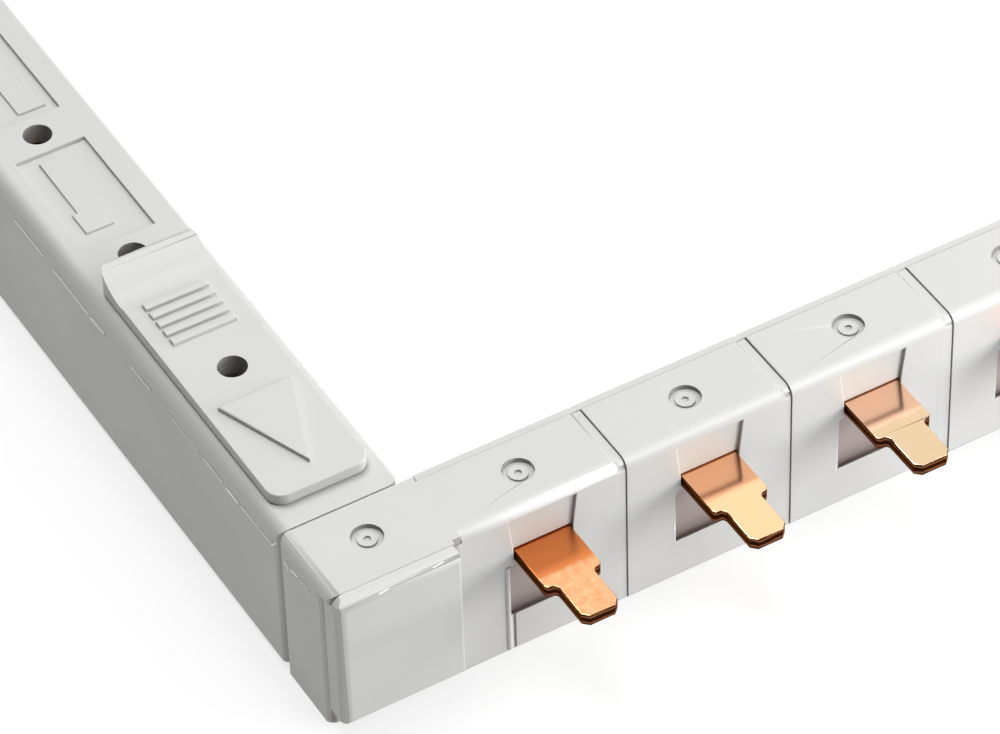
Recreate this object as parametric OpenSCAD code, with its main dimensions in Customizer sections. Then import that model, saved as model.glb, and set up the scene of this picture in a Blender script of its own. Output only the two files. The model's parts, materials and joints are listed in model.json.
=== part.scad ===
/* [Comb arm] */
// Distance from one tooth to the next, one device width
pitch = 17.8; // [17.5:0.1:18.2]
// Number of one-module cells along the comb
modules = 6; // [3:1:12]
// Length of the junction block that the link arm joins
junction_l = 13.6; // [13.4:0.1:15]
// Depth of the comb from front face to junction face
comb_d = 8.7; // [8.4:0.1:10]
// Height of the comb
comb_h = 18; // [17.8:0.1:19]
// Wall thickness of the moulded shells
wall = 1; // [0.8:0.1:1.2]
// Gap at the seam between two cells
seam = 0.1; // [0.1:0.05:0.4]
// Rounding along the top front edge
front_r = 1.1; // [0.6:0.1:1.2]
// Rounding along the bottom front edge
foot_r = 0.5; // [0.3:0.1:0.8]
// Width of the low collar band at the right end of each cell
collar_w = 0.9; // [0.6:0.1:1.2]
// How far the collar band lies below the cell's faces
collar_drop = 0.12; // [0.08:0.02:0.2]

/* [Teeth and conductors] */
// Depth of every tooth's top face below the comb's top
tooth_drop = 5.2; // [4.8:0.1:5.4]
// Thickness of the copper strip
strip_t = 1.3; // [1.2:0.05:1.4]
// Width of a tooth at its root
tooth_w = 5.9; // [5:0.1:6.2]
// Width of the narrow end that enters a terminal
neck_w = 3.8; // [3:0.1:4.4]
// How far a tooth stands out of the front face
tooth_l = 10.3; // [9:0.1:13]
// Length of the wide part outside the housing
shoulder_l = 5.4; // [4:0.1:6.5]
// Chamfer on the corners of the tip
tip_chamfer = 0.6; // [0.3:0.1:0.9]
// Space between the floor and the lowest conductor
floor_gap = 0.6; // [0.5:0.05:0.8]
// Inner radius of the bends in the copper
bend_r = 0.4; // [0.3:0.05:0.5]

/* [Front bay] */
// Width of the sunk panel above a tooth at its top
panel_w = 7.1; // [6.6:0.1:8]
// Depth of the top of that panel below the comb's top
panel_drop = 1.2; // [1.2:0.1:2]
// Depth of the panel below the front face
panel_depth = 0.35; // [0.2:0.05:0.5]
// Width of the window under a tooth
window_w = 7.4; // [6.8:0.1:8]
// Height of the window's sill
window_sill = 4.85; // [4:0.05:6]
// Depth of the window's top below the tooth's top face
window_drop = 1.6; // [1.5:0.05:4]
// Thickness of the wall that closes the window inside
pocket_t = 0.8; // [0.6:0.1:1]

/* [Gate mark] */
// Diameter of the sunk gate mark
mark_d = 3.1; // [2.5:0.1:3.5]
// Depth of the gate mark
mark_depth = 0.5; // [0.3:0.05:0.6]
// Diameter of the raised disc inside it
disc_d = 1.9; // [1.5:0.1:2.2]
// Diameter of the dimple in the disc
dimple_d = 0.7; // [0.5:0.1:0.9]

/* [Back cover and caps] */
// Thickness of the back cover
cover_t = 0.8; // [0.6:0.1:1]
// How far the back cover stands out behind the junction face
cover_proud = 0.25; // [0.15:0.05:0.4]
// Width of the junction cap
cap_w = 12.75; // [12:0.05:12.9]
// How far the junction cap stands out of the front face
cap_proud = 1.9; // [1.5:0.1:2.4]
// Height of the junction cap's lower edge
cap_bottom = 2.3; // [1.5:0.1:3]
// How far the top wall reaches out over the junction cap
lip_l = 0.6; // [0.4:0.1:0.8]
// Thickness of the flange of both end caps
flange_t = 1.6; // [1.2:0.1:2]

/* [Link arm] */
// Width of the link arm
link_w = 12.8; // [12.6:0.1:13]
// Distance from the last access hole to the link arm's end
link_tail = 10; // [8:0.5:20]
// Height of the link arm's underside above the comb's
link_lift = 0.6; // [0.4:0.1:0.8]
// Rounding along the link arm's left top edge
link_r = 1.6; // [1:0.1:1.9]
// Rounding along its right top edge
link_right_r = 0.4; // [0.3:0.1:1.9]
// Distance from one access hole to the next
hole_pitch = 19.7; // [19.5:0.1:20]
// Number of access holes
holes = 5; // [4:1:5]
// Diameter of an access hole
hole_d = 2.9; // [2.5:0.1:3]
// Distance from the junction face to the first access hole
first_hole = 19.9; // [19.8:0.1:20.4]
// Width of a link conductor
link_strip_w = 7; // [6:0.1:7.4]
// Width of the tongue that enters the junction block
tongue_w = 5; // [4:0.1:5.4]

/* [Label fields] */
// Width of a sunk label field
field_w = 7.4; // [6.6:0.1:8]
// Length of a sunk label field
field_l = 14.5; // [12:0.1:15.5]
// Depth of a label field
field_depth = 0.4; // [0.25:0.05:0.5]
// Height of the raised pin shape in the field
figure_h = 0.25; // [0.15:0.05:0.35]

/* [Lock slider] */
// Width of the slider
slider_w = 10.2; // [9.4:0.1:10.6]
// Length of the slider
slider_l = 34.2; // [33.8:0.1:34.5]
// Thickness of the slider's plate
slider_t = 1.25; // [1.1:0.05:1.5]
// Distance from the junction face to the slider's front edge
slider_gap = 2.8; // [2.7:0.1:3.4]
// Height of the push lip above the plate
lip_h = 1.85; // [1.2:0.05:2.2]
// Travel from locked to open
travel = 7; // [5:0.5:7]
// Radius of the slider's corners
slider_r = 1.6; // [1:0.1:2.2]
// Number of grip ribs
grips = 5; // [3:1:5]
// Distance from one grip rib to the next
grip_pitch = 1.35; // [1.2:0.05:1.45]
// Height of a grip rib
grip_h = 0.35; // [0.2:0.05:0.5]
// Length of the raised arrow
arrow_l = 10.2; // [8:0.1:10.6]
// Width of the arrow's base
arrow_w = 7.8; // [6:0.1:8]
// Height of the arrow above the plate
arrow_h = 0.5; // [0.3:0.05:0.7]

/* [Hidden] */
$fn = 48;
// Clearance between fixed pieces
fit = 0.05;
// Clearance round moving pieces
run = 0.2;
// Overshoot of a cut past the face it opens
cut = 1;

// Frame: the origin is under the middle of the junction block, the comb runs along +X
left = -junction_l / 2;
front = -comb_d / 2;
rear = comb_d / 2;
comb_end = left + junction_l + modules * pitch;
function cell_x(i) = left + junction_l + (i - 1) * pitch;
function tooth_x(i) = cell_x(i) + pitch / 2;

// Edge roundings of the junction block
end_r = 1.3;
front_corner_r = 1.2;
rear_corner_r = 0.8;
// Rounding of the first cell beside the cap, which also sets how deep the cap is seated
cell_corner_r = 0.8;
seat = front + cell_corner_r;
// Junction cap and the hatch that it closes
cap_left = left + 0.2;
cap_right = cap_left + cap_w;
hatch_x = [left + 2.6, left + junction_l - 2.9];
hatch_z = [cap_bottom + 1.8, comb_h - wall - 1.6];

// Bead along the first window's left edge, and the groove beside it below the sill
bead_r = 0.35;
groove_at = 0.3;
groove_w = 0.25;
// A faint parting step below the rounded top edges
parting_z = comb_h - 1.9;
parting_step = 0.1;

// Back cover
cover_back = rear + cover_proud;
cover_face = cover_back - cover_t;
cover_x = left + link_w + 1.3;
cover_inset = 0.15;
ledge_t = floor_gap - 2 * fit;
ledge_l = 1.2;
joint_shift = 0.7;
joint_cut = 0.2;

// Conductors: each phase lies one level below the one before
tooth_top = comb_h - tooth_drop;
tooth_bottom = tooth_top - strip_t;
function level(k) = tooth_bottom - k * level_drop;
phases = 3;
level_drop = (tooth_bottom - wall - floor_gap) / (phases - 1);
pocket_face = front + wall + pocket_t;
riser_y = pocket_face + 0.25;
phase_gap = 0.35;
strip_front = riser_y + strip_t + phase_gap;
strip_rear = rear - wall - 2 * fit;
strip_start = left + wall + 0.5;
plug_l = 3;
strip_end = comb_end - plug_l - 0.5;
bend_outer = strip_t + bend_r;
step_r = (tooth_w - neck_w) / 4;
slot_gap = 0.15;
panel_top = comb_h - panel_drop;
window_top = tooth_top - window_drop;
window_r = 0.3;
// How far the window's sill slopes down behind the front face
sill_slope = wall;

// Insulating separators
sheet_t = 0.5;
sheet_gap = 0.45;
rib_t = 1.2;
rib_at = 1.5;

// Junction: link tongues lie on the comb strips inside spring clips
contact_gap = 0.02;
clip_t = 0.4;
clip_front = riser_y - 0.05;
clip_l = 4.2;
link_x = left + link_w / 2;
link_left = left;
link_front = rear + 0.15;
hole_y = rear + first_hole;
link_end = hole_y + (holes - 1) * hole_pitch + link_tail;
link_inner_top = comb_h - wall;
tongue_tip = clip_front + clip_t + 0.3;
link_strip_start = link_front + wall + 0.3;
link_strip_end = link_end - plug_l - 0.5;
function link_level(k) = level(k) + strip_t + contact_gap;
link_corner_r = 1.3;
// Tubes under the access holes behind the lock bar
boss_h = 1.3;
boss_t = 0.55;

// Pin shape in the label fields
foot_w = 3;
foot_l = 2.9;
stem_w = 2.4;
figure_x = 0.4;
figure_y = field_l * 0.38;
// How far each pin shape lies off the middle of its field
figure_aside = 0.2;
figure_off = 0.6;

// Snap beam of the link arm and the slot that it enters
beam_w = 5;
beam_t = 0.7;
beam_z = comb_h - wall - 1.85;
hook_h = 0.5;
hook_l = 1.3;
hook_back = rear - wall - 2 * fit;
snap_w = beam_w + 2 * run;

// Lock slider
slider_bottom = comb_h + 0.1;
slider_top = slider_bottom + slider_t;
slider_front = rear + slider_gap;
slider_back = slider_front + slider_l;
slider_left = link_x - slider_w / 2;
lip_t = 1.2;
ramp_l = 3.7;
ramp_h = lip_h - 0.35;
ramp_r = (ramp_l * ramp_l + ramp_h * ramp_h) / (2 * ramp_h);
grip_w = 6.7;
grip_t = 0.87;
grip_y = slider_back - lip_t - ramp_l - 0.75;
arrow_y = slider_front + 2.5;
leg_w = 2.6;
leg_l = 3;
front_leg_y = slider_front + 4.2;
back_leg_y = hole_y + hole_d / 2 + 4.2;
head_w = 0.35;
head_t = 0.45;

// Lock bar under the link arm's top wall
bar_t = 0.75;
bar_z = comb_h - wall - 0.3 - bar_t;
bar_w = 5.6;
bar_front = slider_front + 1.2;
bar_back = back_leg_y + leg_l + 1.8;
lock_w = 4.8;
lock_tip = rear - wall - 1.1;

// Link base
base_t = wall;
base_top = link_lift + base_t;
post_w = 5.8;
bracket_t = 1.2;

// Colours
shell_grey = [0.83, 0.83, 0.82];
inner_grey = [0.68, 0.68, 0.66];
copper = [0.85, 0.52, 0.33];
bronze = [0.72, 0.58, 0.36];

// A box from its lowest to its highest corner
module box(a, b) translate(a) cube(b - a);

// A flat outline in Y and Z, drawn out along X
module along_x(x0, x1) translate([x0, 0, 0]) rotate([90, 0, 90]) linear_extrude(x1 - x0) children();

// A flat outline in X and Z, drawn out along Y
module along_y(y0, y1) translate([0, y1, 0]) rotate([90, 0, 0]) linear_extrude(y1 - y0) children();

// A flat outline in X and Y, drawn out along Z
module along_z(z0, z1) translate([0, 0, z0]) linear_extrude(z1 - z0) children();

// A flat rectangle from its lowest to its highest corner
module rect(a, b) translate(a) square(b - a);

// What a rounding of radius r takes off a corner that points along sx, sy
module corner(at, sx, sy, r) {
    translate([at[0] - sx * r, at[1] - sy * r])
        mirror([sx < 0 ? 1 : 0, 0])
            mirror([0, sy < 0 ? 1 : 0])
                difference() {
                    square(r + cut);
                    circle(r);
                }
}

// Outline of the comb's section, up to the depth given
module comb_outline(depth) {
    difference() {
        rect([front, 0], [depth, comb_h]);
        corner([front, comb_h], -1, 1, front_r);
        corner([front, 0], -1, -1, foot_r);
    }
}

// The hollow inside the comb's section
module comb_hollow(depth) rect([front + wall, wall], [depth, comb_h - wall]);

// Sunk gate mark with its raised disc and dimple, centred on the comb's top
module gate_mark(x) {
    translate([x, 0, comb_h - mark_depth]) difference() {
        cylinder(d = mark_d, h = mark_depth + cut);
        difference() {
            cylinder(d = disc_d, h = mark_depth * 0.4);
            cylinder(d = dimple_d, h = mark_depth);
        }
    }
}

// Panel and window outline in the front face, about the tooth's centre
module panel_outline() {
    polygon([
        [-panel_w / 2, panel_top], [panel_w / 2, panel_top],
        [tooth_w / 2 + slot_gap, tooth_top + slot_gap], [-tooth_w / 2 - slot_gap, tooth_top + slot_gap]
    ]);
}

module window_outline() {
    rect([-tooth_w / 2 - slot_gap, window_sill], [tooth_w / 2 + slot_gap, tooth_top + slot_gap]);
    difference() {
        rect([-window_w / 2, window_sill], [window_w / 2, window_top]);
        corner([-window_w / 2, window_top], -1, 1, window_r);
        corner([window_w / 2, window_top], 1, 1, window_r);
    }
}

// What the bay round one tooth takes out of the front wall
module bay_cut(i) {
    translate([tooth_x(i), 0, 0]) {
        along_y(front - cut, front + panel_depth) panel_outline();
        along_y(front - cut, front + wall) window_outline();
        along_x(-window_w / 2, window_w / 2) polygon([
            [front, window_sill], [front + wall, window_sill - sill_slope],
            [front + wall, window_sill + fit], [front, window_sill + fit]
        ]);
        box([-tooth_w / 2 - slot_gap, front, tooth_bottom - slot_gap],
            [tooth_w / 2 + slot_gap, pocket_face + cut, tooth_top + slot_gap]);
    }
}

// The wall that closes the window from inside
module bay_wall(i) {
    box([tooth_x(i) - window_w / 2 - pocket_t, front + wall / 2, window_sill - sill_slope - pocket_t],
        [tooth_x(i) + window_w / 2 + pocket_t, pocket_face, tooth_top + slot_gap + pocket_t]);
}

// Ribs that hold the stack of conductors from below and above
module stack_ribs(x) {
    rib_back = cover_face - ledge_l - run;
    box([x, strip_front + fit, wall / 2], [x + rib_t, rib_back, level(phases - 1) - fit]);
    box([x, strip_front + fit, tooth_top + fit], [x + rib_t, rib_back, comb_h - wall / 2]);
}

// The low collar band at the right end of a cell
module collar_cut(x1) {
    along_x(x1 - seam - collar_w, x1) difference() {
        rect([front - cut, 0], [cover_face, comb_h + cut]);
        translate([collar_drop, -collar_drop]) comb_outline(cover_back);
    }
}

// One cell from x0 to x1, open at both ends and at the back
module cell(i, x0, x1) {
    difference() {
        union() {
            difference() {
                along_x(x0, x1 - seam) comb_outline(cover_face - fit);
                along_x(x0 - cut, x1 + cut) comb_hollow(rear + cut);
            }
            bay_wall(i);
            stack_ribs(cell_x(i) + rib_at);
        }
        bay_cut(i);
        gate_mark(tooth_x(i));
        collar_cut(x1);
    }
}

// Outline of the junction block from above
module block_plan(y0) {
    difference() {
        rect([left, y0], [cover_x - fit, rear]);
        corner([left, y0], -1, -1, front_corner_r);
        corner([left, rear], -1, 1, rear_corner_r);
    }
}

// Outline of the junction block's left end from the front, with its parting step
module block_end() {
    difference() {
        rect([left, 0], [cover_x - fit, comb_h]);
        corner([left, comb_h], -1, 1, end_r);
        rect([left - cut, -cut], [left + parting_step, parting_z]);
    }
}

// Junction block: a closed end that the link arm butts against
module junction_block() {
    difference() {
        intersection() {
            union() {
                along_z(0, comb_h - wall) block_plan(seat);
                along_z(comb_h - wall, comb_h) block_plan(front - lip_l);
            }
            along_y(front - lip_l, rear) block_end();
        }
        box([left + wall, seat + wall, wall], [cover_x + cut, rear - wall, comb_h - wall]);
        box([cap_right + fit, front - lip_l - cut, -cut], [cover_x + cut, front, comb_h + cut]);
        box([hatch_x[0], seat - cut, hatch_z[0]], [hatch_x[1], seat + wall + cut, hatch_z[1]]);
        for (k = [0 : phases - 1]) {
            box([link_x - tongue_w / 2 - slot_gap, rear - wall - cut, link_level(k) - slot_gap],
                [link_x + tongue_w / 2 + slot_gap, rear + cut, link_level(k) + strip_t + slot_gap]);
        }
        box([link_x - snap_w / 2, rear - wall - cut, beam_z - 0.1],
            [link_x + snap_w / 2, rear + cut, comb_h - wall - 0.15]);
        gate_mark(left + junction_l / 2);
    }
}

// What rounds the first cell's corner beside the cap
module cap_side_cut() {
    r = cell_corner_r;
    along_z(-cut, comb_h - front_r) translate([cap_right + fit, front]) difference() {
        translate([0, -cut]) square([r, r + cut]);
        translate([r, r]) circle(r);
    }
}

module comb_first_housing() {
    bead_x = tooth_x(1) - window_w / 2;
    color(shell_grey) difference() {
        union() {
            junction_block();
            difference() {
                cell(1, cap_right + fit, cell_x(2));
                cap_side_cut();
            }
            translate([bead_x - bead_r / 2, front + bead_r / 2, foot_r]) cylinder(r = bead_r, h = window_top - foot_r);
        }
        box([bead_x, front - bead_r, window_sill], [bead_x + bead_r, front + wall, window_top - window_r]);
        box([bead_x + groove_at, front - cut, -cut], [bead_x + groove_at + groove_w, front + groove_w, window_sill + fit]);
    }
}

module comb_housing(i) {
    color(shell_grey) cell(i, cell_x(i), cell_x(i + 1));
}

module comb_back_cover() {
    joint_size = joint_cut * sqrt(2);
    color(shell_grey) difference() {
        union() {
            box([cover_x, cover_face, cover_inset], [comb_end - seam, cover_back, comb_h - cover_inset]);
            for (z = [wall + fit, comb_h - wall - fit - ledge_t]) {
                box([cell_x(1) + wall, cover_face - ledge_l, z], [comb_end - plug_l - run, cover_face, z + ledge_t]);
            }
        }
        for (i = [2 : modules]) {
            translate([cell_x(i) - joint_shift, cover_back, -cut])
                rotate([0, 0, 45])
                    translate([-joint_size / 2, -joint_size / 2, 0])
                        cube([joint_size, joint_size, comb_h + 2 * cut]);
        }
    }
}

module comb_end_cap() {
    ring = 0.8;
    color(shell_grey) union() {
        along_x(comb_end - seam + fit, comb_end + flange_t) comb_outline(cover_back);
        difference() {
            box([comb_end - plug_l, front + wall + fit, wall + fit],
                [comb_end, cover_face - fit, comb_h - wall - fit]);
            box([comb_end - plug_l - cut, front + wall + fit + ring, wall + fit + ring],
                [comb_end, cover_face - fit - ring, comb_h - wall - fit - ring]);
        }
    }
}

// The cover on the front of the junction block, with a collar that seats in its hatch
module junction_cap() {
    cap_front = front - cap_proud;
    side_r = 1;
    top_r = cap_proud - lip_l;
    ring = 0.9;
    color(shell_grey) union() {
        difference() {
            intersection() {
                along_z(cap_bottom, comb_h) difference() {
                    rect([cap_left, cap_front], [cap_right, seat - fit]);
                    corner([cap_left, cap_front], -1, -1, side_r);
                    corner([cap_right, cap_front], 1, -1, 0.35);
                }
                along_x(cap_left, cap_right) difference() {
                    rect([cap_front, cap_bottom], [seat - fit, comb_h]);
                    corner([cap_front, comb_h], -1, 1, top_r);
                    corner([cap_front, cap_bottom], -1, -1, 0.4);
                }
                along_y(cap_front, seat) difference() {
                    rect([cap_left, cap_bottom], [cap_right, comb_h]);
                    corner([cap_left, comb_h], -1, 1, end_r);
                    corner([cap_right, comb_h], 1, 1, 0.5);
                }
            }
            box([left - cut, front - lip_l - fit, comb_h - wall - fit], [cap_right + cut, rear, comb_h + cut]);
        }
        difference() {
            box([hatch_x[0] + fit, seat - 2 * fit, hatch_z[0] + fit], [hatch_x[1] - fit, seat + wall, hatch_z[1] - fit]);
            box([hatch_x[0] + fit + ring, seat - fit, hatch_z[0] + fit + ring],
                [hatch_x[1] - fit - ring, seat + wall + cut, hatch_z[1] - fit - ring]);
        }
    }
}

// Flat outline of a tooth that points along -Y, from its root line to its tip
module tooth_outline(root) {
    shoulder = front - shoulder_l;
    tip = front - tooth_l;
    half = tooth_w / 2;
    neck = neck_w / 2;
    difference() {
        union() {
            rect([-half, shoulder], [half, root]);
            polygon([
                [-neck, shoulder], [-neck, tip + tip_chamfer], [-neck + tip_chamfer, tip],
                [neck - tip_chamfer, tip], [neck, tip + tip_chamfer], [neck, shoulder]
            ]);
            for (s = [-1, 1]) {
                difference() {
                    translate([s * (neck + step_r / 2), shoulder - step_r / 2]) square(step_r, center = true);
                    translate([s * (neck + step_r), shoulder - step_r]) circle(step_r);
                }
            }
        }
        for (s = [-1, 1]) corner([s * half, shoulder], s, -1, step_r);
    }
}

// What fills an inner corner that points along sx, sy, with radius r
module fillet(at, sx, sy, r) {
    translate(at) mirror([sx < 0 ? 1 : 0, 0]) mirror([0, sy < 0 ? 1 : 0]) difference() {
        translate([-fit, -fit]) square(r + fit);
        translate([r, r]) circle(r);
    }
}

// The bent web that lifts a tooth from a lower strip to the common tooth level
module riser(k) {
    low = level(k);
    along_x(-tooth_w / 2, tooth_w / 2) union() {
        difference() {
            union() {
                rect([riser_y, low], [strip_front + fit, low + strip_t]);
                rect([riser_y, low], [riser_y + strip_t, tooth_top]);
                rect([front, tooth_bottom], [riser_y + strip_t, tooth_top]);
            }
            corner([riser_y, low], -1, -1, bend_outer);
            corner([riser_y + strip_t, tooth_top], 1, 1, bend_outer);
        }
        fillet([riser_y + strip_t, low + strip_t], 1, 1, bend_r);
        fillet([riser_y, tooth_bottom], -1, -1, bend_r);
    }
}

// Phase k: a strip with a tooth in every third cell
module conductor(k) {
    root = k == 0 ? strip_front + fit : front + wall;
    color(copper) union() {
        box([strip_start, strip_front, level(k)], [strip_end, strip_rear, level(k) + strip_t]);
        for (i = [k + 1 : phases : modules]) {
            translate([tooth_x(i), 0, 0]) {
                along_z(tooth_bottom, tooth_top) tooth_outline(root);
                if (k > 0) riser(k);
            }
        }
    }
}

// Insulation between phase k and the phase below it
module comb_separator(k) {
    sheet_top = level(k) - sheet_gap;
    sheet_front = seat + wall + fit;
    notch = 0.3;
    color(inner_grey) union() {
        difference() {
            box([strip_start, sheet_front, sheet_top - sheet_t], [strip_end, strip_rear, sheet_top]);
            for (i = [1 : modules]) {
                box([tooth_x(i) - window_w / 2 - pocket_t - notch, sheet_front - cut, sheet_top - sheet_t - cut],
                    [tooth_x(i) + window_w / 2 + pocket_t + notch, strip_front + notch, sheet_top + cut]);
            }
        }
        for (i = [2 : modules]) {
            box([cell_x(i) + rib_at, strip_front + notch, level(k + 1) + strip_t + fit],
                [cell_x(i) + rib_at + rib_t, strip_rear, level(k) - fit]);
        }
    }
}

// A spring clip that presses the link tongue of phase k on its comb strip
module junction_clip(k) {
    low = level(k) - contact_gap;
    high = link_level(k) + strip_t + contact_gap;
    color(bronze) along_x(link_x - tongue_w / 2, link_x + tongue_w / 2) difference() {
        union() {
            rect([clip_front, low - clip_t], [clip_front + clip_l, high + clip_t]);
        }
        rect([clip_front + clip_t, low], [clip_front + clip_l + cut, high]);
        corner([clip_front, high + clip_t], -1, 1, clip_t);
        corner([clip_front, low - clip_t], -1, -1, clip_t);
    }
}

// What rounds the link arm's top edges
module link_top_corners() {
    corner([link_left, comb_h], -1, 1, link_r);
    corner([link_left + link_w, comb_h], 1, 1, link_right_r);
}

// Outline of the link arm's section, with rounded top edges and a parting step
module link_outline() {
    difference() {
        rect([link_left, link_lift], [link_left + link_w, comb_h]);
        link_top_corners();
        for (s = [-1, 1]) {
            translate([link_x + s * link_w / 2, 0])
                rect([-parting_step, -cut], [parting_step, parting_z]);
        }
    }
}

function hole_at(n) = hole_y + (n - 1) * hole_pitch;
function field_y(n) = hole_at(n) + hole_pitch / 2;

// Sunk label field with a raised pin shape, which swaps sides from field to field
module label_field(n) {
    swapped = n % 2 == 1;
    floor_z = comb_h - field_depth;
    difference() {
        box([link_x - field_w / 2, field_y(n) - field_l / 2, floor_z],
            [link_x + field_w / 2, field_y(n) + field_l / 2, comb_h + cut]);
        translate([link_x + figure_aside, field_y(n) + (swapped ? -figure_off : figure_off), floor_z])
            mirror([swapped ? 1 : 0, 0, 0]) {
                box([figure_x - foot_w, -figure_y, 0], [figure_x, foot_l - figure_y, figure_h]);
                box([figure_x - stem_w, foot_l - figure_y - fit, 0], [figure_x, figure_y, figure_h]);
            }
    }
}

// Snap beam that holds the link arm in the junction block
module snap_beam() {
    along_x(link_x - beam_w / 2, link_x + beam_w / 2) union() {
        rect([hook_back - hook_l, beam_z], [link_front + wall / 2, beam_z + beam_t]);
        polygon([
            [hook_back, beam_z + fit], [hook_back, beam_z - hook_h], [hook_back - hook_l / 3, beam_z - hook_h],
            [hook_back - hook_l, beam_z - 0.1], [hook_back - hook_l, beam_z + fit]
        ]);
    }
}

// Brackets on both side walls that hold the top conductor down
module link_brackets(y) {
    low = link_level(0) + strip_t + fit;
    for (s = [-1, 1]) {
        translate([link_x, 0, 0]) mirror([s < 0 ? 1 : 0, 0, 0])
            box([link_strip_w / 2 - 0.6, y, low], [link_w / 2 - wall / 2, y + bracket_t, low + 1.2]);
    }
}

module link_housing() {
    color(shell_grey) difference() {
        union() {
            difference() {
                intersection() {
                    along_y(link_front, link_end) link_outline();
                    along_z(0, comb_h) difference() {
                        rect([link_left, link_front], [link_left + link_w, link_end]);
                        for (s = [-1, 1]) corner([link_x + s * link_w / 2, link_front], s, -1, link_corner_r);
                    }
                }
                box([link_left + wall, link_front + wall, -cut],
                    [link_left + link_w - wall, link_end + cut, link_inner_top]);
            }
            snap_beam();
            for (n = [2 : holes]) {
                translate([link_x, hole_at(n), link_inner_top - boss_h]) cylinder(d = hole_d + 2 * boss_t, h = boss_h + wall / 2);
            }
            for (n = [1 : holes]) link_brackets(field_y(n) - hole_pitch + field_l / 2);
        }
        for (n = [1 : holes]) {
            translate([link_x, hole_at(n), link_inner_top - boss_h - cut]) cylinder(d = hole_d, h = boss_h + wall + 2 * cut);
        }
        for (n = [2 : holes - 1]) label_field(n);
        for (y = [front_leg_y, back_leg_y]) {
            box([link_x - leg_w / 2 - run, y - run, link_inner_top - cut],
                [link_x + leg_w / 2 + run, y + leg_l + travel + run, comb_h + cut]);
        }
        for (k = [0 : phases - 1]) {
            box([link_x - tongue_w / 2 - slot_gap, link_front - cut, link_level(k) - slot_gap],
                [link_x + tongue_w / 2 + slot_gap, link_front + wall + cut, link_level(k) + strip_t + slot_gap]);
        }
        box([link_x - lock_w / 2 - run, link_front - cut, beam_z + beam_t],
            [link_x + lock_w / 2 + run, link_front + wall + cut, comb_h - wall - 0.1]);
    }
}

module link_base() {
    edge = wall + fit;
    color(shell_grey) union() {
        box([link_left + edge, link_front + edge, link_lift],
            [link_left + link_w - edge, link_end - fit, base_top]);
        for (n = [1 : holes]) {
            box([link_x - post_w / 2, hole_at(n) - rib_t / 2, base_top - fit],
                [link_x + post_w / 2, hole_at(n) + rib_t / 2, link_level(phases - 1) - fit]);
        }
    }
}

module link_end_cap() {
    edge = wall + fit;
    ring = 0.8;
    color(shell_grey) union() {
        along_y(link_end + fit, link_end + flange_t) difference() {
            rect([link_left, 0], [link_left + link_w, comb_h]);
            link_top_corners();
        }
        difference() {
            box([link_left + edge, link_end - plug_l, base_top + fit],
                [link_left + link_w - edge, link_end + 2 * fit, link_inner_top - fit]);
            box([link_left + edge + ring, link_end - plug_l - cut, base_top + fit + ring],
                [link_left + link_w - edge - ring, link_end, link_inner_top - fit - ring]);
        }
    }
}

// Link phase k: a strip whose narrow tongue enters the junction block
module link_conductor(k) {
    color(copper) along_z(link_level(k), link_level(k) + strip_t) union() {
        rect([link_x - link_strip_w / 2, link_strip_start], [link_x + link_strip_w / 2, link_strip_end]);
        rect([link_x - tongue_w / 2, tongue_tip], [link_x + tongue_w / 2, link_strip_start + fit]);
    }
}

// Insulation between link phase k and the phase below it
module link_separator(k) {
    sheet_top = link_level(k) - sheet_gap;
    color(inner_grey) union() {
        box([link_left + wall + run, link_strip_start, sheet_top - sheet_t],
            [link_left + link_w - wall - run, link_strip_end, sheet_top]);
        for (n = [1 : holes]) {
            box([link_x - post_w / 2, hole_at(n) - rib_t / 2, link_level(k + 1) + strip_t + fit],
                [link_x + post_w / 2, hole_at(n) + rib_t / 2, link_level(k) - fit]);
        }
    }
}

// Side outline of the slider in Y and Z: plate, hollow ramp and round push lip
module slider_side() {
    lip_front = slider_back - lip_t;
    ramp_front = lip_front - ramp_l;
    union() {
        rect([slider_front, slider_bottom], [slider_back, slider_top]);
        difference() {
            rect([ramp_front, slider_bottom], [lip_front + fit, slider_top + ramp_h]);
            translate([ramp_front, slider_top + ramp_r]) circle(ramp_r, $fn = 160);
        }
        rect([lip_front, slider_bottom], [slider_back, slider_top + lip_h - lip_t / 2]);
        translate([slider_back - lip_t / 2, slider_top + lip_h - lip_t / 2]) circle(lip_t / 2);
    }
}

// Outline of the slider from above
module slider_plan() {
    right = slider_left + slider_w;
    difference() {
        rect([slider_left, slider_front], [right, slider_back]);
        for (x = [slider_left, right], y = [slider_front, slider_back])
            corner([x, y], x < link_x ? -1 : 1, y < hole_y ? -1 : 1, slider_r);
    }
}

// The raised arrow that points at the junction
module arrow() {
    base_y = arrow_y + arrow_l;
    along_z(slider_bottom + fit, slider_top + arrow_h)
        polygon([[link_x, arrow_y], [link_x + arrow_w / 2, base_y], [link_x - arrow_w / 2, base_y]]);
}

module lock_slider() {
    color(shell_grey) difference() {
        union() {
            intersection() {
                along_z(slider_bottom, slider_top + lip_h) slider_plan();
                along_x(slider_left, slider_left + slider_w) slider_side();
            }
            arrow();
            for (n = [0 : grips - 1]) {
                y = grip_y - n * grip_pitch;
                box([link_x - grip_w / 2, y - grip_t, slider_bottom + fit], [link_x + grip_w / 2, y, slider_top + grip_h]);
            }
            for (y = [front_leg_y, back_leg_y]) {
                box([link_x - leg_w / 2, y, bar_z - fit - head_t], [link_x + leg_w / 2, y + leg_l, slider_bottom + fit]);
                box([link_x - leg_w / 2 - head_w, y, bar_z - fit - head_t],
                    [link_x + leg_w / 2 + head_w, y + leg_l, bar_z - fit]);
            }
        }
        translate([link_x, hole_y, slider_bottom - cut]) cylinder(d = hole_d, h = slider_t + 2 * cut);
    }
}

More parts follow.
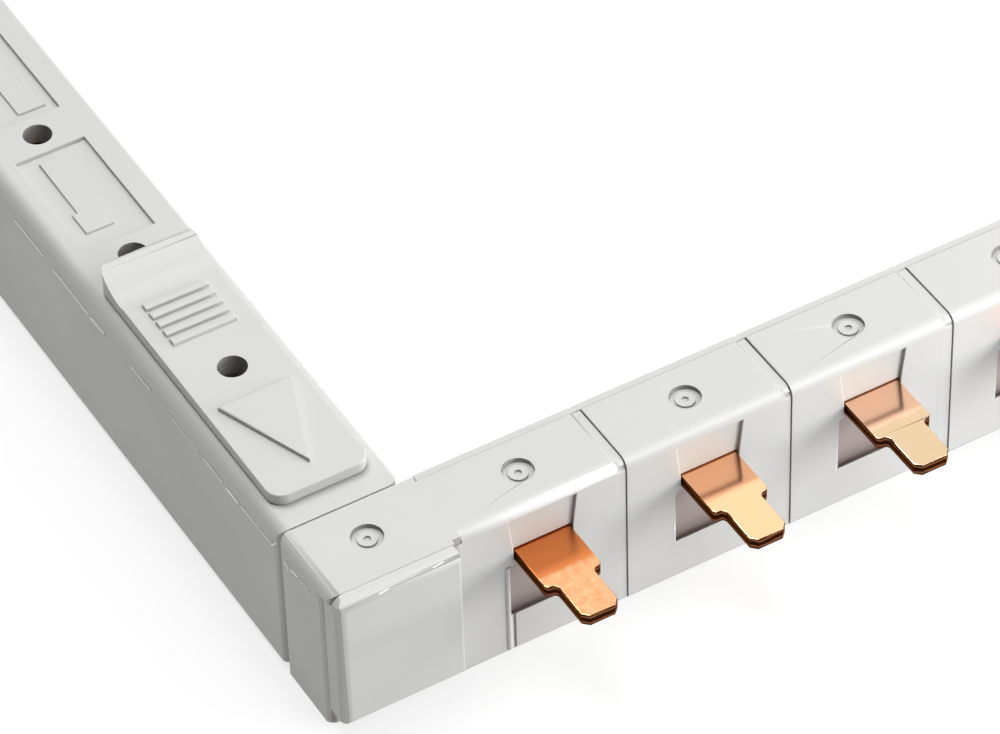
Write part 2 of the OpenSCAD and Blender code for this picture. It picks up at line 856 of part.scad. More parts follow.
// The bar under the top wall: snapped on the slider's legs, its tongue locks the snap beam
module lock_bar() {
    slot_w = hole_d + 4 * run;
    color(inner_grey) along_z(bar_z, bar_z + bar_t) difference() {
        union() {
            rect([link_x - bar_w / 2, bar_front], [link_x + bar_w / 2, bar_back]);
            rect([link_x - lock_w / 2, lock_tip], [link_x + lock_w / 2, bar_front + fit]);
        }
        for (y = [front_leg_y, back_leg_y]) {
            rect([link_x - leg_w / 2 - fit, y - fit], [link_x + leg_w / 2 + fit, y + leg_l + fit]);
        }
        for (y = [hole_y - travel, hole_y]) translate([link_x, y]) circle(d = slot_w);
        rect([link_x - slot_w / 2, hole_y - travel], [link_x + slot_w / 2, hole_y]);
    }
}

comb_first_housing();
for (i = [2 : modules]) comb_housing(i);
comb_back_cover();
comb_end_cap();
junction_cap();
for (k = [1 : phases]) conductor(k - 1);
comb_separator(0);  // comb_separator_upper
comb_separator(1);  // comb_separator_lower
for (k = [1 : phases]) junction_clip(k - 1);
link_housing();
link_base();
link_end_cap();
for (k = [1 : phases]) link_conductor(k - 1);
link_separator(0);  // link_separator_upper
link_separator(1);  // link_separator_lower
lock_slider();
lock_bar();
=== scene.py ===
# %% [markdown]
# Comb busbar with link arm, dressed for a picture
# The real object joins the feed terminals of a row of modular devices. It has two light grey moulded arms.
# One carries a row of copper teeth, the other brings the current in and has a push slider. The solids come
# from CAD and are right in size, so this script never changes their shape. It makes softened copies with
# real finishes, adds the small things that a mould leaves behind, and sets up a camera and soft light like
# those of the product photo.

# %% Load the frame
import json
import math
import bpy
from mathutils import Matrix, Vector


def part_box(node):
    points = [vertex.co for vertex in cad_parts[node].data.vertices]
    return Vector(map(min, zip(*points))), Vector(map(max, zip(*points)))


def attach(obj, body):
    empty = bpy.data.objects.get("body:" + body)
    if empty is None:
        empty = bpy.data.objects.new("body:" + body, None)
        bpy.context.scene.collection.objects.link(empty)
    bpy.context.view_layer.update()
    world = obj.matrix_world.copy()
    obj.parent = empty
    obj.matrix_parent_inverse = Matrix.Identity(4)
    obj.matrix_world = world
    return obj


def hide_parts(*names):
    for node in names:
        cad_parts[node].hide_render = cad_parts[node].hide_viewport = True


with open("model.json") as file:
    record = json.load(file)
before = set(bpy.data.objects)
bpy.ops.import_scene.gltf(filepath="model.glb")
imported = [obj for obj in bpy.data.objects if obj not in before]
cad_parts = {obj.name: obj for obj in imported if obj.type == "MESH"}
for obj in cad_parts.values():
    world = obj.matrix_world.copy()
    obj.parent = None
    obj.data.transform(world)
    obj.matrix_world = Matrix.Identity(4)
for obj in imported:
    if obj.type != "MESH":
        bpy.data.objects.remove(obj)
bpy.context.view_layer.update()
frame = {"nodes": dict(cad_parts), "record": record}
MM = 0.001
BODY_OF = {node: body for body, nodes in frame["record"]["behaviour"]["bodies"].items() for node in nodes}

# %% [markdown]
# The camera
# The photo looks down on the corner of the two arms from the front left, through a long lens: verticals
# hardly lean together. A camera could be aimed with a constraint, but here its matrix is built from three
# directions, so that the slight roll of the photo can go in as well.

# %% Camera at the photo's angle
TURN, HEIGHT, ROLL = math.radians(-29.27), math.radians(44.3), math.radians(-1.92)
AIM = Vector((0.02412, 0.01771, 0.012))
DISTANCE = 0.52475
LENS, SENSOR = 201.74, 36

forward = Vector((-math.sin(TURN) * math.cos(HEIGHT), math.cos(TURN) * math.cos(HEIGHT), -math.sin(HEIGHT)))
level_right = Vector((math.cos(TURN), math.sin(TURN), 0))
level_up = level_right.cross(forward)
camera_right = level_right * math.cos(ROLL) + level_up * math.sin(ROLL)
camera_up = level_up * math.cos(ROLL) - level_right * math.sin(ROLL)

bpy.ops.object.camera_add()
camera = bpy.context.object
camera.name = "photo_camera"
camera.matrix_world = (Matrix.Translation(AIM - forward * DISTANCE)
                       @ Matrix((camera_right, camera_up, -forward)).transposed().to_4x4())
camera.data.lens = LENS
camera.data.sensor_fit = "HORIZONTAL"
camera.data.sensor_width = SENSOR
camera.data.clip_start, camera.data.clip_end = 0.01, 10
bpy.context.scene.camera = camera
print("camera at", tuple(round(value, 4) for value in camera.location))

# %% [markdown]
# Helpers for modelling
# Operators act on whatever is selected, and loading leaves every solid selected. So each piece starts with
# one call that leaves just that piece selected and active. A second helper ends each piece: it gives it its
# finish and the body it moves with, and hides the solids that it stands for.

# %% Select one piece, and finish one piece
def alone(piece):
    bpy.ops.object.select_all(action="DESELECT")
    piece.select_set(True)
    bpy.context.view_layer.objects.active = piece
    return piece


def finished(piece, material, body, nodes=()):
    piece.data.materials.clear()
    piece.data.materials.append(material)
    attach(piece, body)
    if nodes:
        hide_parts(*nodes)
    return piece

# %% [markdown]
# Helpers for materials
# Each finish is a small tree of nodes. Wiring them by hand takes four lines a node, so one helper adds a
# node, sets its values and links, and gives it back. A value that is the same all over stays on the
# shader's own socket.

# %% Add and wire a node
def add_node(tree, kind, settings=None, **inputs):
    node = tree.nodes.new(kind)
    for key, value in (settings or {}).items():
        setattr(node, key, value)
    for key, value in inputs.items():
        numbered = key.startswith("socket_")
        socket = node.inputs[int(key.removeprefix("socket_")) if numbered else key.replace("_", " ")]
        if isinstance(value, bpy.types.NodeSocket):
            tree.links.new(value, socket)
        else:
            socket.default_value = value
    return node


def new_material(name):
    material = bpy.data.materials.new(name)
    material.use_nodes = True
    tree = material.node_tree
    tree.nodes.clear()
    shader = tree.nodes.new("ShaderNodeBsdfPrincipled")
    output = tree.nodes.new("ShaderNodeOutputMaterial")
    tree.links.new(shader.outputs["BSDF"], output.inputs["Surface"])
    return material, tree, shader


def new_group(name, inputs, outputs):
    tree = bpy.data.node_groups.new(name, "ShaderNodeTree")
    for label, kind, value in inputs:
        socket = tree.interface.new_socket(label, in_out="INPUT", socket_type=kind)
        socket.default_value = value
    for label, kind in outputs:
        tree.interface.new_socket(label, in_out="OUTPUT", socket_type=kind)
    return tree, tree.nodes.new("NodeGroupInput"), tree.nodes.new("NodeGroupOutput")

# %% [markdown]
# Moulded surface
# A moulded housing takes the fine spark-eroded texture of its mould, and the plastic cools unevenly, so
# that the gloss drifts a little over a centimetre or two. Every plastic here shares this, so it is a node
# group: a height for the bump, and a slow mask for gloss and shade.

# %% Node group: moulded surface
moulded, group_in, group_out = new_group(
    "moulded_surface",
    [("Grain per metre", "NodeSocketFloat", 5000.0), ("Flow per metre", "NodeSocketFloat", 60.0)],
    [("Height", "NodeSocketFloat"), ("Drift", "NodeSocketFloat")])
place = add_node(moulded, "ShaderNodeTexCoord").outputs["Object"]
grain = add_node(moulded, "ShaderNodeTexNoise", Vector=place, Scale=group_in.outputs["Grain per metre"],
                 Detail=2.0, Roughness=0.6)
flow = add_node(moulded, "ShaderNodeTexNoise", Vector=place, Scale=group_in.outputs["Flow per metre"],
                Detail=3.0, Roughness=0.5, Distortion=0.4)
moulded.links.new(grain.outputs["Fac"], group_out.inputs["Height"])
moulded.links.new(flow.outputs["Fac"], group_out.inputs["Drift"])
print("group:", moulded.name, [socket.name for socket in moulded.interface.items_tree])

# %% [markdown]
# Plastics
# The shells are a pale, slightly warm grey that reflects softly. The pieces inside are a darker grey, which
# is also painted as shade on the walls of marks and holes, and the flash is painted nearly white as a
# painted highlight. All come from one function that takes two close tones, which the slow mask mixes, and a
# range of gloss.

# %% Materials: plastics of the shells, the inside, the painted window shade and the flash
def plastic(name, light, dark, gloss, bump):
    material, tree, shader = new_material(name)
    surface = add_node(tree, "ShaderNodeGroup", {"node_tree": moulded})
    tone = add_node(tree, "ShaderNodeMix", {"data_type": "RGBA"}, Factor=surface.outputs["Drift"])
    tone.inputs[6].default_value = (*dark, 1)
    tone.inputs[7].default_value = (*light, 1)
    rough = add_node(tree, "ShaderNodeMapRange", Value=surface.outputs["Drift"], From_Min=0.3, From_Max=0.7,
                     To_Min=gloss[0], To_Max=gloss[1])
    relief = add_node(tree, "ShaderNodeBump", Height=surface.outputs["Height"], Strength=bump,
                      Distance=0.00002)
    tree.links.new(tone.outputs[2], shader.inputs["Base Color"])
    tree.links.new(rough.outputs[0], shader.inputs["Roughness"])
    tree.links.new(relief.outputs["Normal"], shader.inputs["Normal"])
    shader.inputs["IOR"].default_value = 1.52
    return material


shell_plastic = plastic("shell_plastic", (0.392, 0.392, 0.383), (0.374, 0.374, 0.367), (0.36, 0.46), 0.35)
# The darker plastic is the inner pieces' own colour, and it is also painted as shade on the walls of marks
# and holes.
inner_plastic = plastic("inner_plastic", (0.25, 0.25, 0.24), (0.21, 0.21, 0.2), (0.45, 0.55), 0.35)
# The window plastic is painted shade under the teeth, warmed as a painted reflection of the copper.
window_shade_plastic = plastic("window_shade_plastic", (0.26, 0.22, 0.21), (0.22, 0.185, 0.18), (0.4, 0.5), 0.35)
# The flash's pale tone is a painted highlight.
flash_highlight_plastic = plastic("flash_highlight_plastic", (0.8, 0.8, 0.79), (0.7, 0.7, 0.69), (0.5, 0.6), 0.0)
print("plastics:", shell_plastic.name, inner_plastic.name, window_shade_plastic.name, flash_highlight_plastic.name)

# %% [markdown]
# Copper
# The teeth are punched from bright strip. Their faces are rolled smooth and mirror the pale room. The
# punched edges are rough, with bands where the punch sheared and then tore the metal, and both band tones
# are painted dark as painted shade on the tooth sides. Towards the housing the faces are painted redder, a
# painted reflection of the housing front, and the first tooth has been handled and is a mottled orange. So
# one group gives all the masks: edge or face from the direction of the surface, bands from the height,
# handling clouds and the painted root reflection from the depth and clouds.

# %% Node group: metal skin
# The cloud output holds the handling clouds and the painted root reflection.
metal_skin, group_in, group_out = new_group(
    "metal_skin",
    [("Clouds per metre", "NodeSocketFloat", 400.0), ("Tarnish", "NodeSocketFloat", 0.3)],
    [("Edge", "NodeSocketFloat"), ("Cloud_and_root_reflection", "NodeSocketFloat"), ("Band", "NodeSocketFloat"),
     ("Height", "NodeSocketFloat")])
# Between these depths the tooth faces take the cloudy colour towards the housing: a painted reflection of
# the housing front.
ROOT_REFLECTION_FROM, ROOT_REFLECTION_TO, ROOT_REFLECTION_WANDER = -0.0082, -0.0074, 0.001
BAND_RADIANS_PER_METRE, BAND_WANDER = 9000.0, 0.0005
ROLLING_STRETCH = 0.06
where = add_node(metal_skin, "ShaderNodeTexCoord")
spot = add_node(metal_skin, "ShaderNodeSeparateXYZ", Vector=where.outputs["Object"])
clouds = add_node(metal_skin, "ShaderNodeTexNoise", Vector=where.outputs["Object"],
                  Scale=group_in.outputs["Clouds per metre"], Detail=6.0, Roughness=0.68, Distortion=0.3)
cloud_mask = add_node(metal_skin, "ShaderNodeMapRange", Value=clouds.outputs["Fac"],
                      From_Min=0.36, From_Max=0.66)
patches = add_node(metal_skin, "ShaderNodeMath", {"operation": "MULTIPLY"}, socket_0=cloud_mask.outputs[0],
                   socket_1=group_in.outputs["Tarnish"])
wander = add_node(metal_skin, "ShaderNodeMath", {"operation": "MULTIPLY_ADD"},
                  socket_0=clouds.outputs["Fac"], socket_1=ROOT_REFLECTION_WANDER, socket_2=spot.outputs["Y"])
root_reflection = add_node(metal_skin, "ShaderNodeMapRange", {"interpolation_type": "SMOOTHSTEP"},
                Value=wander.outputs[0], From_Min=ROOT_REFLECTION_FROM, From_Max=ROOT_REFLECTION_TO)
handling_and_root_reflection = add_node(metal_skin, "ShaderNodeMath", {"operation": "ADD", "use_clamp": True},
                   socket_0=patches.outputs[0], socket_1=root_reflection.outputs[0])
facing = add_node(metal_skin, "ShaderNodeSeparateXYZ", Vector=where.outputs["Normal"])
upright = add_node(metal_skin, "ShaderNodeMath", {"operation": "ABSOLUTE"}, socket_0=facing.outputs["Z"])
edge_mask = add_node(metal_skin, "ShaderNodeMapRange", Value=upright.outputs[0],
                     From_Min=0.8, From_Max=0.35)
torn = add_node(metal_skin, "ShaderNodeTexNoise", Vector=where.outputs["Object"], Scale=700.0, Detail=4.0)
level = add_node(metal_skin, "ShaderNodeMath", {"operation": "MULTIPLY_ADD"},
                 socket_0=torn.outputs["Fac"], socket_1=BAND_WANDER, socket_2=spot.outputs["Z"])
turns = add_node(metal_skin, "ShaderNodeMath", {"operation": "MULTIPLY"},
                 socket_0=level.outputs[0], socket_1=BAND_RADIANS_PER_METRE)
wave = add_node(metal_skin, "ShaderNodeMath", {"operation": "SINE"}, socket_0=turns.outputs[0])
band = add_node(metal_skin, "ShaderNodeMapRange", Value=wave.outputs[0], From_Min=0.1, From_Max=1.0)
rolled = add_node(metal_skin, "ShaderNodeMapping", Vector=where.outputs["Object"])
rolled.inputs["Scale"].default_value = (1, ROLLING_STRETCH, 1)
lines = add_node(metal_skin, "ShaderNodeTexNoise", Vector=rolled.outputs[0], Scale=9000.0, Detail=2.0)
for label, socket in (("Edge", edge_mask.outputs[0]), ("Cloud_and_root_reflection", handling_and_root_reflection.outputs[0]),
                      ("Band", band.outputs[0]), ("Height", lines.outputs["Fac"])):
    metal_skin.links.new(socket, group_out.inputs[label])
print("group:", metal_skin.name)

# %% Materials: bright, pale and handled copper, and spring bronze
# Both edge tones are painted dark: painted shade on the tooth sides, banded where the punch sheared and
# tore.
SHEARED_SHADE, TORN_SHADE = (0.02, 0.006, 0.003), (0.22, 0.09, 0.045)


def metal(name, bright, cloudy_and_reflected, gloss, tarnish_amount, clouds_per_metre=400.0):
    material, tree, shader = new_material(name)
    skin = add_node(tree, "ShaderNodeGroup", {"node_tree": metal_skin})
    skin.inputs["Tarnish"].default_value = tarnish_amount
    skin.inputs["Clouds per metre"].default_value = clouds_per_metre
    face = add_node(tree, "ShaderNodeMix", {"data_type": "RGBA"}, Factor=skin.outputs["Cloud_and_root_reflection"])
    edge = add_node(tree, "ShaderNodeMix", {"data_type": "RGBA"}, Factor=skin.outputs["Band"])
    colour = add_node(tree, "ShaderNodeMix", {"data_type": "RGBA"}, Factor=skin.outputs["Edge"])
    for mix, low, high in ((face, bright, cloudy_and_reflected), (edge, SHEARED_SHADE, TORN_SHADE)):
        mix.inputs[6].default_value = (*low, 1)
        mix.inputs[7].default_value = (*high, 1)
    tree.links.new(face.outputs[2], colour.inputs[6])
    tree.links.new(edge.outputs[2], colour.inputs[7])
    face_rough = add_node(tree, "ShaderNodeMapRange", Value=skin.outputs["Cloud_and_root_reflection"],
                          To_Min=gloss[0], To_Max=gloss[1])
    rough = add_node(tree, "ShaderNodeMix", Factor=skin.outputs["Edge"])
    tree.links.new(face_rough.outputs[0], rough.inputs[2])
    rough.inputs[3].default_value = 0.5
    relief = add_node(tree, "ShaderNodeBump", Height=skin.outputs["Height"], Strength=0.15,
                      Distance=0.00001)
    tree.links.new(colour.outputs[2], shader.inputs["Base Color"])
    tree.links.new(rough.outputs[0], shader.inputs["Roughness"])
    tree.links.new(relief.outputs["Normal"], shader.inputs["Normal"])
    shader.inputs["Metallic"].default_value = 1.0
    shader.inputs["Specular Tint"].default_value = (0.8, 0.5, 0.35, 1)
    return material


copper_handled = metal("copper_handled", (0.66, 0.41, 0.22), (0.7, 0.22, 0.07), (0.14, 0.26), 0.6, 1300.0)
copper_bright = metal("copper_bright", (0.88, 0.5, 0.28), (0.92, 0.48, 0.27), (0.07, 0.12), 0.12)
copper_pale = metal("copper_pale", (0.57, 0.43, 0.27), (0.88, 0.54, 0.37), (0.07, 0.12), 0.1)
spring_bronze = metal("spring_bronze", (0.72, 0.55, 0.30), (0.5, 0.34, 0.16), (0.2, 0.3), 0.4)
print("metals:", copper_handled.name, copper_bright.name, copper_pale.name, spring_bronze.name)

# %% [markdown]
# Softened copies
# CAD edges are razor sharp, and no moulded edge is. A bevel could be faked in the shader, but a real one
# also shows in the outline. Triangles that lie in one plane are joined first, so that a bevel cuts into
# whole faces. Then the edges that turn by more than thirty degrees get a weight for the bevel. Edges
# between the front or top and a wall that faces right are rounder, because the photo shows bright lines
# there. Those at the seams stay narrow, and so does a bevel beside a narrow face. The short edges along
# arcs stay as they are, apart from those that a piece names as fine, and the edges that it names as crisp
# are left alone.

# %% Choose the edges to round
SHARP = math.radians(30)
SMOOTH = math.radians(25)
SHORTEST_EDGE = 0.6 * MM
LEAST_ROOM = 0.025 * MM
ROOM_SHARE, ROOM_SHARE_BESIDE_INNER_CORNER = 0.45, 0.9
SEAM_REACH = 0.2
RIGHTWARD, SQUARE_ON, PARALLEL = 0.5, 0.9, 0.99
SEAMS = [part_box(f"comb_housing_{number}")[0][0] / MM for number in range(2, 7)]


def reach(mesh, face, near, far):
    along = (far - near).normalized()
    return max((mesh.vertices[corner].co - near).cross(along).length for corner in face.vertices)


def faces_right(first, second):
    pairs = ((first, second), (second, first))
    return any(wall.x > RIGHTWARD and (face.y < -SQUARE_ON or face.z > SQUARE_ON) for wall, face in pairs)


def on_seam(x):
    return any(abs(x - seam) < SEAM_REACH for seam in SEAMS)


def sharp_edges(mesh):
    beside = {}
    for face in mesh.polygons:
        corners = list(face.vertices)
        for start, end in zip(corners, corners[1:] + corners[:1]):
            beside.setdefault((min(start, end), max(start, end)), []).append((face, start, end))
    convex, inner = {}, {}
    for key, sides in beside.items():
        if len(sides) != 2 or sides[0][0].normal.angle(sides[1][0].normal, 0) < SHARP:
            continue
        (face, start, end), (other, _, _) = sides
        along = mesh.vertices[end].co - mesh.vertices[start].co
        if other.normal.dot(face.normal.cross(along)) < 0:
            convex[key] = (face, other)
        else:
            for side in (face, other):
                inner.setdefault(side.index, []).append(along.normalized())
    return convex, inner


def room_share(inner, face, along):
    beside_inner_corner = any(abs(along.dot(way)) > PARALLEL for way in inner.get(face.index, ()))
    return ROOM_SHARE_BESIDE_INNER_CORNER if beside_inner_corner else ROOM_SHARE


def weigh_edges(mesh, width, share, fine, crisp):
    convex, inner = sharp_edges(mesh)
    weights = mesh.attributes.new("bevel_weight_edge", "FLOAT", "EDGE")
    for edge in mesh.edges:
        if edge.key not in convex:
            continue
        sides = convex[edge.key]
        near, far = (mesh.vertices[corner].co for corner in edge.vertices)
        middle = (near + far) / 2 / MM
        too_short = (far - near).length < SHORTEST_EDGE and not fine(middle)
        if crisp(middle) or too_short:
            continue
        along = (far - near).normalized()
        room = min(reach(mesh, face, near, far) * room_share(inner, face, along) for face in sides)
        rounder = faces_right(sides[0].normal, sides[1].normal) and not on_seam(near.x / MM)
        wanted = width if rounder else width * share
        if room > LEAST_ROOM:
            weights.data[edge.index].value = min(wanted, room) / width

# %% Make a softened copy of a solid
MERGE = 0.002 * MM
FLAT = math.radians(0.03)


def nowhere(place):
    return False


def softened(node, width, share=1.0, fine=nowhere, crisp=nowhere):
    piece = bpy.data.objects.new(node + "_finished", frame["nodes"][node].data.copy())
    bpy.context.collection.objects.link(piece)
    alone(piece)
    bpy.ops.object.mode_set(mode="EDIT")
    bpy.ops.mesh.select_all(action="SELECT")
    bpy.ops.mesh.remove_doubles(threshold=MERGE)
    bpy.ops.mesh.dissolve_degenerate(threshold=MERGE)
    bpy.ops.mesh.dissolve_limited(angle_limit=FLAT, use_dissolve_boundaries=False)
    bpy.ops.object.mode_set(mode="OBJECT")
    weigh_edges(piece.data, width * MM, share, fine, crisp)
    bevel = piece.modifiers.new("soft_edges", "BEVEL")
    bevel.width, bevel.segments = width * MM, 2
    bevel.limit_method = "WEIGHT"
    bevel.use_clamp_overlap = False
    bpy.ops.object.modifier_apply(modifier=bevel.name)
    bpy.ops.object.shade_smooth_by_angle(angle=SMOOTH)
    flat = piece.modifiers.new("flat_faces", "WEIGHTED_NORMAL")
    flat.mode, flat.keep_sharp = "FACE_AREA", True
    bpy.ops.object.modifier_apply(modifier=flat.name)
    return piece


def paint(piece, material, wanted):
    piece.data.materials.append(material)
    index = len(piece.data.materials) - 1
    for face in piece.data.polygons:
        if wanted(face.center / MM, face.normal):
            face.material_index = index

# %% [markdown]
# The housings
# Each shell of the comb is one moulding, and so are the covers, the caps and the link arm. Their edges are
# rounded by about a tenth of a millimetre, and by twice that where they face right, so that a thin line of
# light shows there. The junction cap is rounder at its sides, and its uppermost edges stay crisp.

# %% Shells of both arms
CAP_CRISP_ABOVE = 16.5
SHELL_ROUNDING = {"width": 0.2, "share": 0.45}
CAP_ROUNDING = {"width": 0.35, "share": 0.28, "crisp": lambda place: place.z > CAP_CRISP_ABOVE}
shells = [node for node in frame["nodes"] if node.startswith("comb_housing_")]
shells += ["comb_first_housing", "comb_back_cover", "comb_end_cap", "junction_cap", "link_housing",
           "link_base", "link_end_cap"]
dressed = {}
for node in shells:
    dressed[node] = softened(node, **(CAP_ROUNDING if node == "junction_cap" else SHELL_ROUNDING))
    finished(dressed[node], shell_plastic, BODY_OF[node], [node])
print("shells:", len(shells))

# %% [markdown]
# The windows under the teeth
# Through each window the photo shows a darker, warmer grey. Here the faces inside the window take a darker,
# warmer plastic of their own: painted shade under the tooth, warmed as a painted reflection of the copper.

# %% Painted shade on faces inside the windows
TOOTH_LENGTH = 10.3
FRONT = frame["record"]["mounts"][1]["pos_m"][1] / MM + TOOTH_LENGTH
WINDOW_SHADE_DEPTH = (0.85, 1.1)
WINDOW_HEIGHT = (3.6, 11.3)
FRONTWARD = 0.5
COMB_NAMES = ("comb_first_housing", "comb_housing_")
comb_shells = {node: piece for node, piece in dressed.items() if node.startswith(COMB_NAMES)}


def in_window(place, normal):
    deep_enough = WINDOW_SHADE_DEPTH[0] < place.y - FRONT < WINDOW_SHADE_DEPTH[1]
    return deep_enough and WINDOW_HEIGHT[0] < place.z < WINDOW_HEIGHT[1] and normal.y < -FRONTWARD


inside = 0
for piece in comb_shells.values():
    paint(piece, window_shade_plastic, in_window)
    inside += sum(face.material_index for face in piece.data.polygons)
print("faces inside the windows:", inside)

# %% [markdown]
# Gate marks and access holes
# The walls of the round gate marks and of the access holes lie in their own shadow, and in the photo they
# are an even dark grey. That shade is painted: the walls take the darker plastic, which leaves the shapes
# as they are.

# %% Painted shade on the walls in marks and holes
MARK_HEIGHT = (17.4, 17.85)
HOLES = [Vector(mount["pos_m"]) / MM for mount in frame["record"]["mounts"] if mount["kind"] == "bore"]
HOLE_REACH = 1.6
WALL_LEAN = 0.3


def in_mark(place, normal):
    return MARK_HEIGHT[0] < place.z < MARK_HEIGHT[1] and abs(normal.z) < WALL_LEAN


def in_hole(place, normal):
    return abs(normal.z) < WALL_LEAN and any((place.xy - hole.xy).length < HOLE_REACH for hole in HOLES)


for node, piece in comb_shells.items():
    paint(piece, inner_plastic, in_mark)
    print(node, "mark faces:", sum(face.material_index == 2 for face in piece.data.polygons))
paint(dressed["link_housing"], inner_plastic, in_hole)
print("hole faces:", sum(face.material_index == 1 for face in dressed["link_housing"].data.polygons))

# %% [markdown]
# Flash
# Where the two halves of a mould meet, a little plastic is squeezed out. The photo shows it as a broken
# bright line along the left sides of the link arm and the block, fatter at the corner, and as a few flecks
# on the cap and on one window. The flash is painted a paler tone, a painted highlight, so that it shows at
# this size. Each piece is a thin six-sided rod whose ends are put on the nearest point of its housing, so
# that it sits about half sunk in what carries it. A line is a row of such rods: the depth and height of
# both ends on the left side, and the rod's radius, in millimetres. They follow the broken line in the
# photo.

# %% Rods of flash
def flash_rod(host, start, end, radius):
    near, far = (host.closest_point_on_mesh(Vector(place) * MM)[1] for place in (start, end))
    along = far - near
    bpy.ops.mesh.primitive_cylinder_add(vertices=6, radius=radius * MM, depth=along.length,
                                        location=(near + far) / 2,
                                        rotation=along.to_track_quat("Z", "Y").to_euler())
    bpy.ops.object.transform_apply(location=True, rotation=True, scale=True)
    return bpy.context.object


def joined(name, rods):
    alone(rods[0])
    for rod in rods[1:]:
        rod.select_set(True)
    bpy.ops.object.join()
    rods[0].name = name
    return finished(rods[0], flash_highlight_plastic, BODY_OF["link_housing"])


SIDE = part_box("link_housing")[0][0] / MM
LINK_LINE = (
    ((56.5, 15.5), (50.5, 15.5), 0.12),
    ((48.7, 15.3), (41.4, 15.2), 0.11),
    ((41.0, 15.2), (38.1, 15.35), 0.14),
    ((32.7, 15.6), (28.8, 15.7), 0.11),
    ((26.5, 15.6), (19.5, 15.5), 0.07),
    ((18.6, 15.5), (14.9, 15.5), 0.11),
    ((14.2, 15.5), (11.8, 15.5), 0.17),
    ((11.4, 15.5), (5.6, 15.6), 0.11),
    ((5.6, 15.6), (4.9, 16.3), 0.12))
BLOCK_LINE = (
    ((3.1, 15.7), (2.6, 15.0), 0.16),
    ((2.0, 15.6), (0.8, 15.7), 0.15),
    ((0.6, 15.7), (-1.2, 15.8), 0.11))
CAP_FACE, CAP_FLECK = -6.25, 0.06
WINDOW_FLECK = ((29.56, -4.35, 6.5), (29.56, -4.35, 7.1), 0.07)


def side_rods(node, rods):
    return [flash_rod(dressed[node], (SIDE, *start), (SIDE, *end), radius) for start, end, radius in rods]


link_rods = side_rods("link_housing", LINK_LINE)
comb_rods = side_rods("comb_first_housing", BLOCK_LINE)
for start, end in (((3.3, CAP_FACE, 17.6), (4.4, CAP_FACE, 17.8)),
                   ((-2.3, CAP_FACE, 17.3), (-1.3, CAP_FACE, 17.5))):
    comb_rods.append(flash_rod(dressed["junction_cap"], start, end, CAP_FLECK))
comb_rods.append(flash_rod(dressed["comb_housing_2"], *WINDOW_FLECK))
for piece in (joined("link_flash", link_rods), joined("comb_flash", comb_rods)):
    print(piece.name, len(piece.data.polygons), "faces")

# %% [markdown]
# The slider
# The slider is pushed by a finger, so all its edges are rounded alike, the short ones at its front too. It
# rides on its own body and takes its push lip, grip ribs, arrow and hole along.

# %% Slider
SLIDER_FRONT = 9
slider = softened("lock_slider", 0.15, fine=lambda place: place.y < SLIDER_FRONT)
finished(slider, shell_plastic, BODY_OF["lock_slider"], ["lock_slider"])
# The walls of the slider's hole are painted in the darker plastic as painted shade.
paint(slider, inner_plastic, in_hole)
print("hole faces in the slider:", sum(face.material_index == 1 for face in slider.data.polygons))

# %% [markdown]
# Inner pieces
# The separators, the lock bar, the spring clips and the link arm's strips hardly show, except through the
# holes. They keep their CAD shape and get their own finish.

# %% Finishes of the inner pieces
for node in ("comb_separator_upper", "comb_separator_lower", "link_separator_upper", "link_separator_lower",
             "lock_bar"):
    frame["nodes"][node].data.materials.clear()
    frame["nodes"][node].data.materials.append(inner_plastic)
for phase in (1, 2, 3):
    clip = frame["nodes"][f"junction_clip_l{phase}"]
    clip.data.materials.clear()
    clip.data.materials.append(spring_bronze)
    strip = frame["nodes"][f"link_conductor_l{phase}"]
    strip.data.materials.clear()
    strip.data.materials.append(copper_bright)
    print(clip.name, "and", strip.name)

# %% [markdown]
# The comb conductors
# Punching rounds one side of a strip's edge and leaves the other sharp. A small bevel all round reads as
# that at this size, and on the teeth the short edges get it too. The first conductor carries the handled
# tooth, and the third is less red than the second.

# %% Copper conductors with teeth
TEETH_BEFORE = -4
for phase, copper in enumerate((copper_handled, copper_bright, copper_pale), start=1):
    node = f"conductor_l{phase}"
    piece = softened(node, 0.05, fine=lambda place: place.y < TEETH_BEFORE)
    finished(piece, copper, BODY_OF[node], [node])
    print(piece.name, "in", copper.name)

# %% [markdown]
# Floor and light
# The photo has a white ground and soft light, and the sides that face left lie in shade. The key lamp
# stands high at the front right, and one above the part lights the tops. Two small low ones at the right
# light the fronts, and a low strip draws the bright lines on the edges that face right. The copper mirrors
# a wide lamp high behind, which stands in for a pale card. The ground glows, which keeps it white and lifts
# the shade, and a faint world fills the rest.

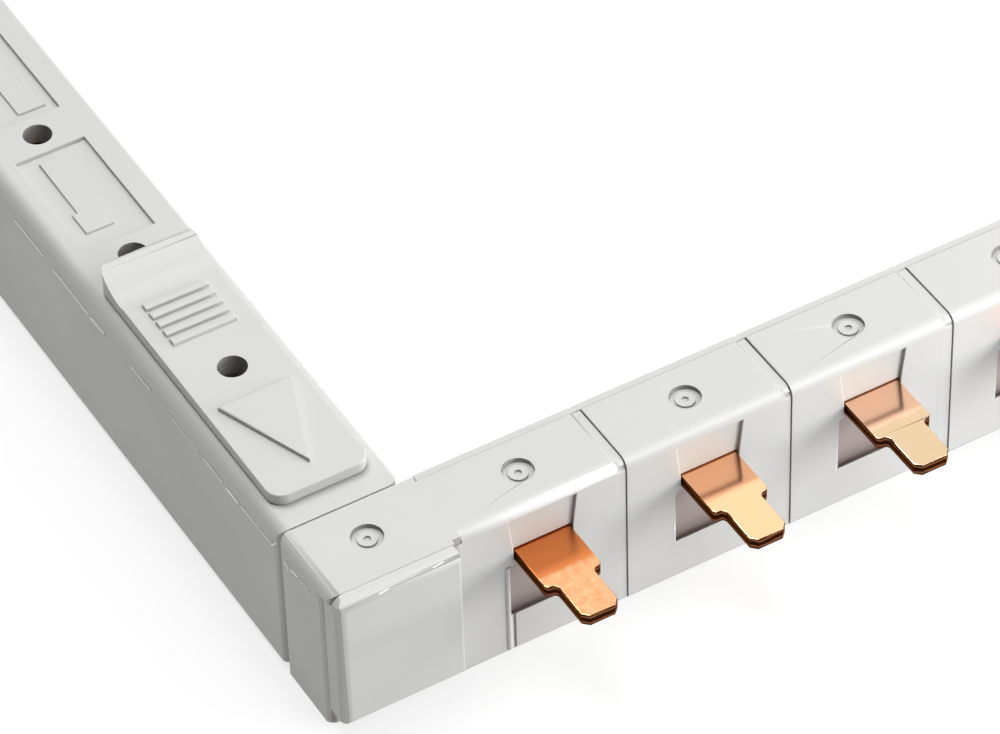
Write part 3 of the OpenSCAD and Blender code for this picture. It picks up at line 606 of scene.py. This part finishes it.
# %% Floor
bpy.ops.mesh.primitive_plane_add(size=4, location=(0, 0, -0.0001))
floor = bpy.context.object
floor.name = "floor"
paper, tree, shader = new_material("floor_paper")
fibres = add_node(tree, "ShaderNodeTexNoise", Vector=add_node(tree, "ShaderNodeTexCoord").outputs["Object"],
                  Scale=900.0, Detail=3.0)
fibre_bump = add_node(tree, "ShaderNodeBump", Height=fibres.outputs["Fac"], Strength=0.05, Distance=0.00005)
tree.links.new(fibre_bump.outputs["Normal"], shader.inputs["Normal"])
shader.inputs["Base Color"].default_value = (0.2, 0.2, 0.2, 1)
shader.inputs["Roughness"].default_value = 0.8
shader.inputs["Emission Color"].default_value = (1, 1, 1, 1)
shader.inputs["Emission Strength"].default_value = 0.7
floor.data.materials.append(paper)
print("floor:", paper.name)

# %% Lamps and world
def soft_lamp(name, place, size, brightness):
    aim = AIM - Vector(place)
    bpy.ops.object.light_add(type="AREA", location=place)
    lamp = bpy.context.object
    lamp.name = name
    lamp.data.shape = "RECTANGLE"
    lamp.data.size, lamp.data.size_y = size
    lamp.data.energy = brightness * math.pi * size[0] * size[1]
    lamp.rotation_mode = "QUATERNION"
    lamp.rotation_quaternion = aim.to_track_quat("-Z", "Y")
    return lamp


soft_lamp("key_front_high", (0.30, -0.42, 0.58), (0.6, 0.6), 4.1)
soft_lamp("near_right_low", (0.17, -0.11, 0.06), (0.08, 0.08), 18.0)
soft_lamp("far_right_low", (0.34, -0.22, 0.12), (0.16, 0.16), 2.0)
soft_lamp("edge_right", (0.45, -0.06, 0.022), (0.2, 0.04), 60.0)
soft_lamp("card_behind", (0.42, 0.62, 0.62), (0.9, 0.6), 1.5)
soft_lamp("top_behind", (-0.06, 0.26, 0.88), (0.5, 0.5), 10.8)
world = bpy.data.worlds.new("studio")
world.use_nodes = True
world.node_tree.nodes["Background"].inputs["Color"].default_value = (1, 1, 1, 1)
world.node_tree.nodes["Background"].inputs["Strength"].default_value = 0.03
bpy.context.scene.world = world
bpy.context.scene.view_settings.view_transform = "Standard"
